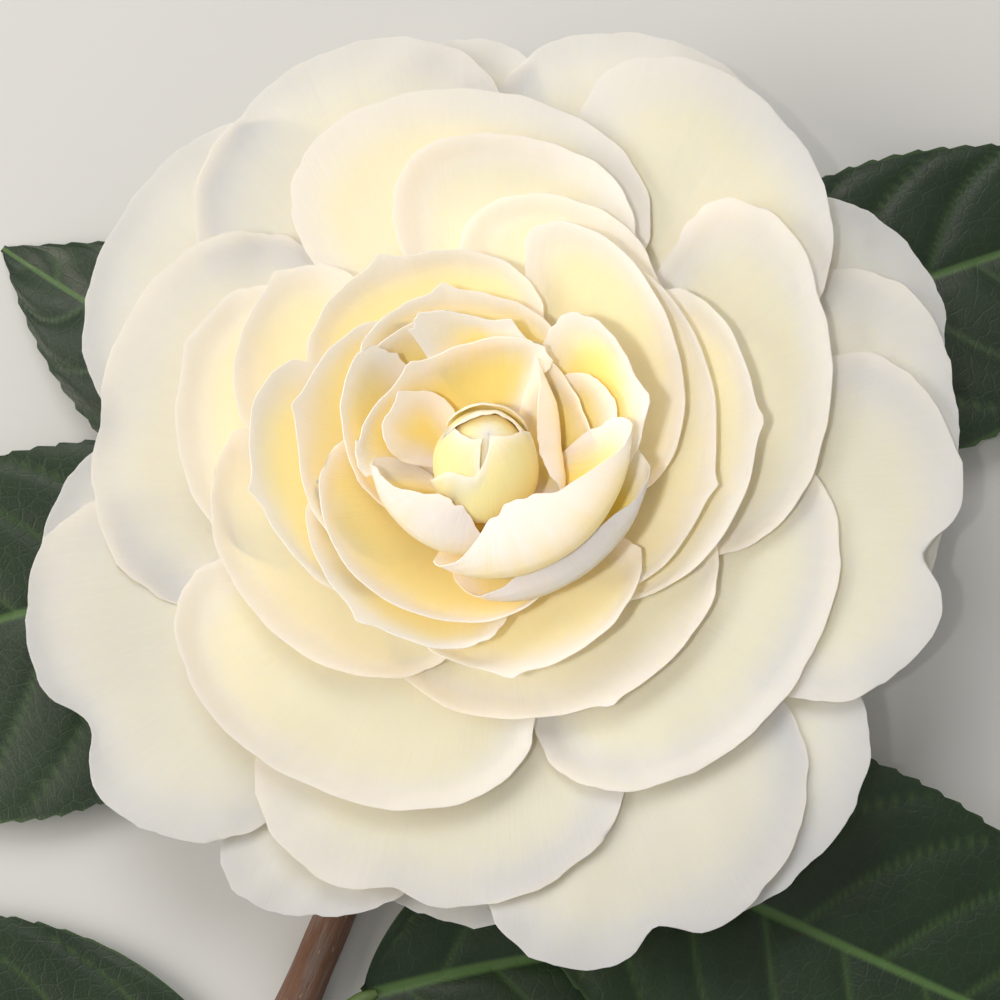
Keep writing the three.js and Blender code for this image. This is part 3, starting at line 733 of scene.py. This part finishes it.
def receptacle_finish(settings):
    finish = Finish("receptacle_skin")
    place = finish.add("ShaderNodeTexCoord", output="Object")
    mottle = finish.noise(place, 900.0, 3.0)
    return finish.surface({
        "Base Color": finish.blend(mottle.between(0.3, 0.7) * 0.3, settings.cream, settings.gold),
        "Roughness": 0.6 + mottle * 0.15, "Normal": finish.bump(mottle, 0.0002, 0.2), **TISSUE,
    })


# ---- Twig ----

def twig_centre(out):
    """Points of the twig's centre line, from under the bloom to the cut end."""
    out = np.asarray(out, dtype=float)
    t = np.sqrt(np.clip(out / TWIG_BEND, 0, 1))
    low = np.where(out < TWIG_BEND, mix(TWIG_START, TWIG_LYING, 1 - (1 - t) ** 2), TWIG_LYING)
    away = np.where(out < TWIG_BEND, TWIG_BEND * t * t, out)
    return np.stack([away * math.cos(TWIG_HEADING), away * math.sin(TWIG_HEADING), low], axis=-1)


def twig_radius(out):
    """The twig's radius, swollen where leaves join."""
    out = np.asarray(out, dtype=float)
    taper = mix(TWIG_TIP_RADIUS, TWIG_CUT_RADIUS, out / TWIG_LENGTH)
    swelling = sum(np.exp(-((out - leaf.node) / 2) ** 2) for leaf in LEAVES)
    room = np.where(out < TWIG_BEND, 1, np.clip((TWIG_CUT_RADIUS - taper) / NODE_SWELLING, 0, 1))
    return taper + NODE_SWELLING * swelling * room


def bark_finish(settings):
    finish = Finish("twig_skin")
    grain, (around, _, _) = finish.attribute("grain")
    _, (depth, cut, _) = finish.attribute("place")
    fibre = finish.noise(finish.stretch(grain, 9, 0.35, 1), 1.0, 4.0, 0.65)
    patches = finish.noise(finish.stretch(grain, 1.6, 0.12, 1), 1.0, 3.0)
    corky = finish.add("ShaderNodeTexVoronoi", {"feature": "F1"},
                       {"Vector": finish.stretch(grain, 1.5, 0.42, 1), "Scale": 1.0, "Randomness": 1.0})
    dots = 1 - corky.between(0.10, 0.17)
    grey = [channel * 0.6 + 0.10 for channel in settings.bark]
    dark = [channel * 0.35 for channel in settings.bark]
    tint = finish.blend(patches.between(0.42, 0.65) * 0.75, settings.bark, grey)
    tint = finish.blend(fibre.between(0.5, 0.75) * 0.75, tint, dark)
    tint = finish.blend(dots * 0.7, tint, (0.42, 0.30, 0.20))
    ringed = finish.add("ShaderNodeCombineXYZ", None, {0: depth * 14, 1: around * 0.3})
    rings = finish.noise(ringed, 1.0, 2.0)
    wood = finish.blend(rings.between(0.4, 0.65) * 0.5, settings.wood, [c * 0.72 for c in settings.wood])
    wood = finish.blend(1 - depth.between(0.10, 0.17), wood, (0.80, 0.68, 0.45))
    wood = finish.blend(depth.between(0.80, 0.88), wood, (0.20, 0.22, 0.07))
    tint = finish.blend(cut, tint, wood)
    return finish.surface({
        "Base Color": tint, "Roughness": 0.72 + (fibre - 0.5) * 0.25,
        "Normal": finish.bump(fibre + dots * 0.5, 0.00025, 0.8), "Specular IOR Level": 0.3,
    })


def bark_relief(out, angle, rng):
    """How high the bark stands at each point, as a share of its furrows' depth."""
    high = np.zeros((len(out), len(angle)))
    for count in FURROW_COUNTS:
        drift = rng.uniform(0, 6.28) + 0.9 * np.sin(out * rng.uniform(0.05, 0.2) + rng.uniform(0, 6))
        waves = np.abs(np.sin((angle[None, :] * count + drift[:, None]) / 2))
        high += waves ** 0.6 / len(FURROW_COUNTS)
    return high + 0.25 * np.sin(out * 0.9)[:, None] * np.sin(angle * 2 + 1)[None, :]


class CAMELLIA_OT_twig(Operator):
    """Builds the woody twig with its furrowed bark, leaf joints and cut end"""
    bl_idname = "camellia.twig"
    bl_label = "Twig"

    def execute(self, context):
        settings = context.scene.camellia_twig
        rings, sides = settings.rings, settings.sides
        t = np.linspace(0, 1, rings)
        out = TWIG_LENGTH * (0.35 * t * t + 0.65 * t)
        centre = twig_centre(out)
        tangent = np.gradient(centre, axis=0)
        tangent /= np.linalg.norm(tangent, axis=1, keepdims=True)
        sideways = np.array([-math.sin(TWIG_HEADING), math.cos(TWIG_HEADING), 0.0])
        upright = np.cross(np.broadcast_to(sideways, tangent.shape), tangent)
        angle = np.linspace(0, 2 * math.pi, sides, endpoint=False)
        relief = bark_relief(out, angle, np.random.default_rng(TWIG_SEED))
        scars = [leaf.node + 2.2 for leaf in LEAVES[:1] + LEAVES[2:4]]
        knuckle = sum(np.exp(-((out - scar) / 0.35) ** 2) for scar in scars)
        radius = twig_radius(out) - settings.relief / MM * (1 - relief.T) - BARK_INSET
        radius = radius.T + 0.06 * knuckle[:, None] * (out > TWIG_BEND + 2)[:, None]
        radius = np.minimum(radius, TWIG_CUT_RADIUS - BARK_INSET)
        points = (centre[:, None] + radius[..., None] * (
            np.cos(angle)[None, :, None] * sideways + np.sin(angle)[None, :, None] * upright[:, None]))
        points[..., 2] = np.maximum(points[..., 2], 0.01)
        grain = np.stack(np.broadcast_arrays(angle[None, :] * 2.2, out[:, None], 0.0), axis=2)
        place = np.stack(np.broadcast_arrays(np.ones((rings, sides)), 0.0, 0.0), axis=2)

        def cap(ring, steps):
            """Rings that shrink onto the centre of an end."""
            shares = np.linspace(1, TWIG_LAST_RING, steps)[:, None, None]
            return centre[ring] + (points[ring] - centre[ring])[None] * shares

        grid = np.concatenate([cap(0, TWIG_START_RINGS)[::-1], points, cap(-1, TWIG_END_RINGS)])
        grain = np.concatenate([np.repeat(grain[:1], TWIG_START_RINGS, axis=0), grain,
                                np.repeat(grain[-1:], TWIG_END_RINGS, axis=0)])
        depth = np.linspace(1, TWIG_LAST_RING, TWIG_END_RINGS)[:, None]
        cut = np.stack(np.broadcast_arrays(depth, 1.0, np.zeros((1, sides))), axis=2)
        place = np.concatenate([np.repeat(place[:1], TWIG_START_RINGS, axis=0), place, cut])
        attributes = {"grain": grain.reshape(-1, 3), "place": place.reshape(-1, 3)}
        piece = add_piece("twig_bark", grid.reshape(-1, 3) + SPRIG, tube_faces(len(grid), sides),
                          bark_finish(settings), attributes, ["twig"])
        edges = piece.data.attributes.new("sharp_edge", "BOOLEAN", "EDGE")
        cut_ring = TWIG_START_RINGS + rings
        rim = set(range((cut_ring - 1) * sides, cut_ring * sides))
        edges.data.foreach_set("value", [set(edge.vertices) <= rim for edge in piece.data.edges])
        return {"FINISHED"}


# ---- Leaves ----

def leaf_half_width(along):
    return np.sin(math.pi * along ** 0.88) ** 0.8 * (1 - 0.25 * along ** 4)


def leaf_grid(leaf, settings, rng):
    """A blade's upper and lower surface as grids, and what its finish reads."""
    rows, columns = round(leaf.length / LEAF_ROW), LEAF_COLUMNS
    along = np.linspace(0, 1, rows + 1)
    half = (np.arange(columns // 2) + 1) / (columns // 2)
    side = np.concatenate([-half[::-1] ** 1.25, [0], half ** 1.25])
    heading = np.radians(leaf.heading + leaf.swing * along)
    step = leaf.length / rows
    middle_heading = np.radians(leaf.heading + leaf.swing * (along[:-1] + along[1:]) / 2)
    x = leaf.foot[0] + np.concatenate([[0], np.cumsum(np.cos(middle_heading)) * step])
    y = leaf.foot[1] + np.concatenate([[0], np.cumsum(np.sin(middle_heading)) * step])
    foot, centre, tip = leaf.heights
    bow = 2 * (foot - 2 * centre + tip)
    z = foot + (tip - foot - bow) * along + bow * along * along

    breadth = np.maximum(leaf_half_width(np.clip(along, 1e-6, 1 - 1e-6)), 0.004)[:, None]
    width = np.where(side[None, :] < 0, leaf.breadth[1], leaf.breadth[0]) * breadth
    pitch = settings.tooth_pitch / MM
    phase = (along * leaf.length / pitch)[:, None] + np.where(side[None, :] < 0, 0.4, 0) + 0 * side
    tooth = np.where(phase % 1 < 0.8, (phase % 1) / 0.8, (1 - phase % 1) / 0.2)
    toothed = smooth(0.10, 0.25, along)[:, None] * smooth(1.0, 0.94, along)[:, None]
    edge = smooth(0.86, 1, np.abs(side))[None, :]
    wavy = 1 + 0.02 * ripple(rng, along * 9, (1, 2))[:, None]
    offset = side[None, :] * width * wavy
    offset = offset - np.sign(side)[None, :] * edge * toothed * settings.tooth_depth / MM * (1 - tooth)
    least = 0.85 * (1 - along / 2)[:, None] * side[None, :]
    offset = np.where(np.abs(offset) < np.abs(least), least, offset)

    # Side veins leave the midrib at a slant, and bend along the margin.
    aside = np.abs(offset)
    share_out = aside / np.maximum(width, 0.5)
    run = (along * leaf.length)[:, None] - aside * 0.62 - 7.0 * share_out ** 4
    run = run + 0.9 * ripple(rng, along[:, None] * 5 + share_out, (1, 2))
    beat = run / (settings.vein_pitch / MM) + np.where(side[None, :] < 0, 0.45, 0.0)
    vein = np.abs((beat + 0.5) % 1 - 0.5) * settings.vein_pitch / MM * 0.85
    present = smooth(0.02, 0.10, along)[:, None] * smooth(0.99, 0.9, along)[:, None]
    inside = smooth(1.0, 0.86, share_out)
    pillow = (1 - np.exp(-(vein / 1.5) ** 2)) * inside * present * smooth(0, 2.5, aside)
    groove = np.exp(-(vein / 0.32) ** 2) * inside * present
    rib = np.exp(-(aside / mix(0.85, 0.3, along)[:, None]) ** 2)

    wander = 0.35 * share_out ** 2 * ripple(rng, along[:, None] * 7 + np.sign(side) * 2, (1, 1.7))
    low = z[:, None] + LEAF_FOLD * aside + wander * smooth(0.2, 1.2, z)[:, None]
    low = low + settings.quilting / MM * pillow * smooth(0, 0.15, along)[:, None]
    left = np.stack([-np.sin(heading), np.cos(heading)], axis=1)
    points = np.stack([x[:, None] + left[:, :1] * offset,
                       y[:, None] + left[:, 1:] * offset, low], axis=2)
    sunk = -0.08 * groove - 0.16 * rib * (1 - along)[:, None]
    top = points + np.array([0, 0, 1.0]) * sunk[..., None]
    thick = mix(settings.thickness / MM, 0.2, share_out ** 3)
    ridge = 0.10 * groove + 0.55 * rib * (1.02 - along)[:, None]
    bottom = points - np.array([0, 0, 1.0]) * (thick + ridge)[..., None]
    bottom[..., 2] = np.maximum(bottom[..., 2], 0.02)
    top[..., 2] = np.maximum(top[..., 2], bottom[..., 2] + 0.1)
    grain = np.stack([offset, (along * leaf.length)[:, None] + 0 * offset, share_out], axis=2)
    place = np.stack([groove, rib, 0 * rib], axis=2)
    return top, bottom, grain, place


def leaf_shell(top, bottom):
    """Points and quads of the closed body between a blade's two sides."""
    rows, columns = top.shape[0] - 1, top.shape[1] - 1
    faces = grid_faces(columns, rows)[:, ::-1]
    size = (rows + 1) * (columns + 1)
    rim = grid_rim(columns, rows)
    after = np.roll(rim, -1)
    edge = np.stack([rim, after, after + size, rim + size], axis=1)
    points = np.concatenate([top.reshape(-1, 3), bottom.reshape(-1, 3)])
    return points, np.concatenate([faces, faces[:, ::-1] + size, edge])


def stalk_line(leaf, steps):
    """The leaf's stalk, from the twig's side to the blade's foot."""
    node, ahead = twig_centre([leaf.node, leaf.node + 0.01])
    tangent = (ahead - node) / np.linalg.norm(ahead - node)
    foot = np.array([*leaf.foot, leaf.heights[0]])
    away = foot - node
    away -= tangent * away.dot(tangent)
    away[2] = 0
    away /= np.linalg.norm(away)
    start = node + away * (twig_radius(leaf.node) - 0.25)
    lead = np.array([math.cos(math.radians(leaf.heading)), math.sin(math.radians(leaf.heading)), 0])
    pull = np.linalg.norm(foot - start) / 3
    ends = (start, start + away * pull, foot - lead * pull, foot + lead * 1.5)
    t = np.linspace(0, 1, steps)[:, None]
    return ((1 - t) ** 3 * ends[0] + 3 * (1 - t) ** 2 * t * ends[1]
            + 3 * (1 - t) * t * t * ends[2] + t ** 3 * ends[3])


def leaf_stalk(leaf):
    """Points of a leaf's stalk, ring by ring, and what its finish reads."""
    line = stalk_line(leaf, STALK_RINGS)
    tangent = np.gradient(line, axis=0)
    tangent /= np.linalg.norm(tangent, axis=1, keepdims=True)
    sideways = np.cross(np.broadcast_to([0, 0, 1.0], tangent.shape), tangent)
    sideways /= np.linalg.norm(sideways, axis=1, keepdims=True)
    upright = np.cross(tangent, sideways)
    angle = np.linspace(0, 2 * math.pi, STALK_SIDES, endpoint=False)
    thick = 0.82 + 0.25 * np.exp(-np.linspace(0, 9, STALK_RINGS))
    thick[-4:] *= (0.98, 0.9, 0.75, 0.5)
    flat = 1 - 0.25 * (np.sin(angle) > 0.3) * np.sin(angle)
    points = (line[:, None] + thick[:, None, None] * flat[None, :, None] * (
        np.cos(angle)[None, :, None] * sideways[:, None]
        + np.sin(angle)[None, :, None] * upright[:, None]))
    points[..., 2] = np.maximum(points[..., 2], 0.03)
    down = np.linspace(-8, 0, STALK_RINGS)[:, None]
    grain = np.stack(np.broadcast_arrays(angle[None, :], down, 0.0), axis=2)
    place = np.tile((0.0, 0.75, 0.35), (STALK_RINGS * STALK_SIDES, 1))
    return points.reshape(-1, 3), grain.reshape(-1, 3), place


def leaf_finish(settings):
    finish = Finish("leaf_skin")
    grain, (_, _, share_out) = finish.attribute("grain")
    _, (groove, rib, under) = finish.attribute("place")
    flat = finish.stretch(grain, 1, 1, 0)
    to_edge = {"feature": "DISTANCE_TO_EDGE", "voronoi_dimensions": "2D"}
    net = finish.add("ShaderNodeTexVoronoi", to_edge, {"Vector": flat, "Scale": 0.62, "Randomness": 0.9})
    fine = finish.add("ShaderNodeTexVoronoi", to_edge, {"Vector": flat, "Scale": 1.9, "Randomness": 1.0})
    mesh = 1 - net.between(0.02, 0.10)
    pores = 1 - fine.between(0.0, 0.09)
    cloud = finish.noise(flat, 0.09, 3.0)
    speck = finish.noise(flat, 5.0, 3.0)
    light = [min(1, channel * 1.9) for channel in settings.blade]
    upper = finish.blend(cloud.between(0.35, 0.7) * 0.6, settings.blade, light)
    upper = finish.blend(mesh * 0.05 + pores * 0.02, upper, settings.vein)
    upper = finish.blend(groove * 0.55, upper, settings.vein)
    upper = finish.blend(rib.between(0.25, 0.9) * 0.9, upper, [min(1, c * 1.5) for c in settings.vein])
    upper = finish.blend(share_out.between(0.975, 1.0) * 0.5, upper, settings.vein)
    lower = finish.blend(mesh * 0.35 + groove * 0.5, settings.under, [c * 1.6 for c in settings.under])
    lower = finish.blend(rib.between(0.2, 0.8) * 0.8, lower, (0.22, 0.28, 0.10))
    relief = pores * -0.08 + mesh * -0.15 + speck * 0.2
    return finish.surface({
        "Base Color": finish.blend(under, upper, lower),
        "Roughness": 0.36 + under * 0.22 + (speck - 0.5) * 0.12 + mesh * 0.06,
        "Coat Weight": 0.08 - under * 0.07, "Coat Roughness": 0.25,
        "Normal": finish.bump(relief, 0.00012, 0.7), "Specular IOR Level": 0.30,
    })


class CAMELLIA_OT_leaves(Operator):
    """Builds the leathery toothed leaves with their veins and stalks"""
    bl_idname = "camellia.leaves"
    bl_label = "Leaves"

    def execute(self, context):
        settings = context.scene.camellia_leaf
        material = leaf_finish(settings)
        for number, leaf in enumerate(LEAVES, 1):
            rng = np.random.default_rng(LEAF_SEED + number)
            top, bottom, grain, place = leaf_grid(leaf, settings, rng)
            points, quads = leaf_shell(top, bottom)
            below = place.copy()
            below[..., 2] = 1
            stalk, stalk_grain, stalk_place = leaf_stalk(leaf)
            faces = quads.tolist() + tube_faces(STALK_RINGS, STALK_SIDES, len(points))
            grains = [grain.reshape(-1, 3), grain.reshape(-1, 3), stalk_grain]
            places = [place.reshape(-1, 3), below.reshape(-1, 3), stalk_place]
            add_piece(f"leaf_blade_{number}", np.concatenate([points, stalk]) + SPRIG, faces, material,
                      {"grain": np.concatenate(grains), "place": np.concatenate(places)},
                      [f"leaf_{number}"])
        return {"FINISHED"}


# ---- Stage ----

# In metres. The lamps' places are from a point inside the bloom's heart.
FLOOR_REACH = 1.5
HEART_HEIGHT = 0.012
KEY_PLACE, KEY_SIZE, KEY_TINT = Vector((-0.62, -0.02, 0.40)), 0.55, (1.0, 0.92, 0.80)
TOP_PLACE, TOP_SIZE, TOP_TINT = Vector((-0.14, 0.46, 0.66)), 0.50, (1.0, 0.96, 0.90)
SPOT_PLACE, SPOT_AIM = Vector((-0.07, -0.09, 0.50)), Vector((0.006, 0.004, 0))
SPOT_CONE, SPOT_SIZE, SPOT_TINT = math.radians(9.5), 0.02, (1.0, 0.95, 0.86)
FILL_TINT = (1.0, 0.965, 0.90, 1.0)
# The camera looks a little from the bloom's lower edge and from its right.
CAMERA_LOW, CAMERA_RIGHT, CAMERA_DISTANCE = math.radians(10), math.radians(4), 0.33
CAMERA_TARGET = (BLOOM + np.array([0.392, -0.495, 7.0])) * MM


def add_lamp(name, kind, place, target, power, tint):
    """Makes a lamp that looks from a place to its target, and gives its settings."""
    light = bpy.data.lights.new(name, kind)
    light.energy, light.color = power, tint
    lamp = bpy.data.objects.new(name, light)
    lamp.location = place
    lamp.rotation_euler = (target - place).to_track_quat("-Z", "Y").to_euler()
    bpy.context.scene.collection.objects.link(lamp)
    return light


class CAMELLIA_OT_stage(Operator):
    """Sets the pale floor, the soft lights and the camera"""
    bl_idname = "camellia.stage"
    bl_label = "Stage"

    def execute(self, context):
        settings = context.scene.camellia_stage
        scene = context.scene
        mesh = bpy.data.meshes.new("floor")
        corners = ((-1, -1, 0), (1, -1, 0), (1, 1, 0), (-1, 1, 0))
        mesh.from_pydata([Vector(corner) * FLOOR_REACH for corner in corners], [], [(0, 1, 2, 3)])
        finish = Finish("floor_skin")
        place = finish.add("ShaderNodeTexCoord", output="Object")
        tooth = finish.noise(place, 700.0, 2.0)
        mesh.materials.append(finish.surface({
            "Base Color": (*settings.floor, 1.0), "Roughness": 0.85,
            "Normal": finish.bump(tooth, 0.0001, 0.15)}))
        floor = bpy.data.objects.new("floor", mesh)
        scene.collection.objects.link(floor)

        heart = Vector(BLOOM) * MM + Vector((0, 0, HEART_HEIGHT))
        key = add_lamp("key", "AREA", heart + KEY_PLACE, heart, settings.key, KEY_TINT)
        key.shape, key.size = "DISK", KEY_SIZE
        top = add_lamp("top", "AREA", heart + TOP_PLACE, heart, settings.top, TOP_TINT)
        top.shape, top.size = "DISK", TOP_SIZE
        spot = add_lamp("spot", "SPOT", heart + SPOT_PLACE, heart + SPOT_AIM, settings.spot, SPOT_TINT)
        spot.shadow_soft_size, spot.spot_size, spot.spot_blend = SPOT_SIZE, SPOT_CONE, 1.0
        world = bpy.data.worlds.new("studio")
        world.use_nodes = True
        backdrop = world.node_tree.nodes["Background"]
        backdrop.inputs["Color"].default_value = FILL_TINT
        backdrop.inputs["Strength"].default_value = settings.fill
        scene.world = world

        toward = Vector((math.tan(CAMERA_RIGHT), -math.tan(CAMERA_LOW), 1)).normalized()
        right = (-toward).cross(Vector((0, 1, 0))).normalized()
        up = right.cross(-toward)
        camera = bpy.data.cameras.new("camera")
        camera.sensor_width, camera.lens = 36, settings.lens
        camera.clip_start, camera.clip_end = 0.01, 10
        eye = bpy.data.objects.new("camera", camera)
        turned = Matrix((right, up, toward)).transposed().to_4x4()
        eye.matrix_world = Matrix.Translation(Vector(CAMERA_TARGET) + toward * CAMERA_DISTANCE) @ turned
        scene.collection.objects.link(eye)
        scene.camera = eye
        scene.view_settings.view_transform = "Standard"
        scene.view_settings.gamma = 1.1
        return {"FINISHED"}


class CAMELLIA_PT_sprig(Panel):
    bl_label = "Camellia sprig"
    bl_idname = "CAMELLIA_PT_sprig"
    bl_space_type = "VIEW_3D"
    bl_region_type = "UI"
    bl_category = "Camellia"

    def draw(self, context):
        for name in ("camellia_bloom", "camellia_leaf", "camellia_twig", "camellia_stage"):
            settings = getattr(context.scene, name)
            box = self.layout.box()
            for title in settings.__annotations__:
                box.prop(settings, title)
        for operator in OPERATORS:
            self.layout.operator(operator.bl_idname)


OPERATORS = (CAMELLIA_OT_petals, CAMELLIA_OT_bud, CAMELLIA_OT_calyx, CAMELLIA_OT_twig,
             CAMELLIA_OT_leaves, CAMELLIA_OT_stage)
SETTINGS = {"camellia_bloom": BloomSettings, "camellia_leaf": LeafSettings,
            "camellia_twig": TwigSettings, "camellia_stage": StageSettings}


def register():
    for kind in (*SETTINGS.values(), *OPERATORS, CAMELLIA_PT_sprig):
        bpy.utils.register_class(kind)
    for name, kind in SETTINGS.items():
        setattr(bpy.types.Scene, name, PointerProperty(type=kind))


def unregister():
    for name in SETTINGS:
        delattr(bpy.types.Scene, name)
    for kind in (CAMELLIA_PT_sprig, *reversed(OPERATORS), *SETTINGS.values()):
        bpy.utils.unregister_class(kind)


def main():
    register()
    for operator in OPERATORS:
        group, name = operator.bl_idname.split(".")
        getattr(getattr(bpy.ops, group), name)()


if __name__ == "__main__":
    main()
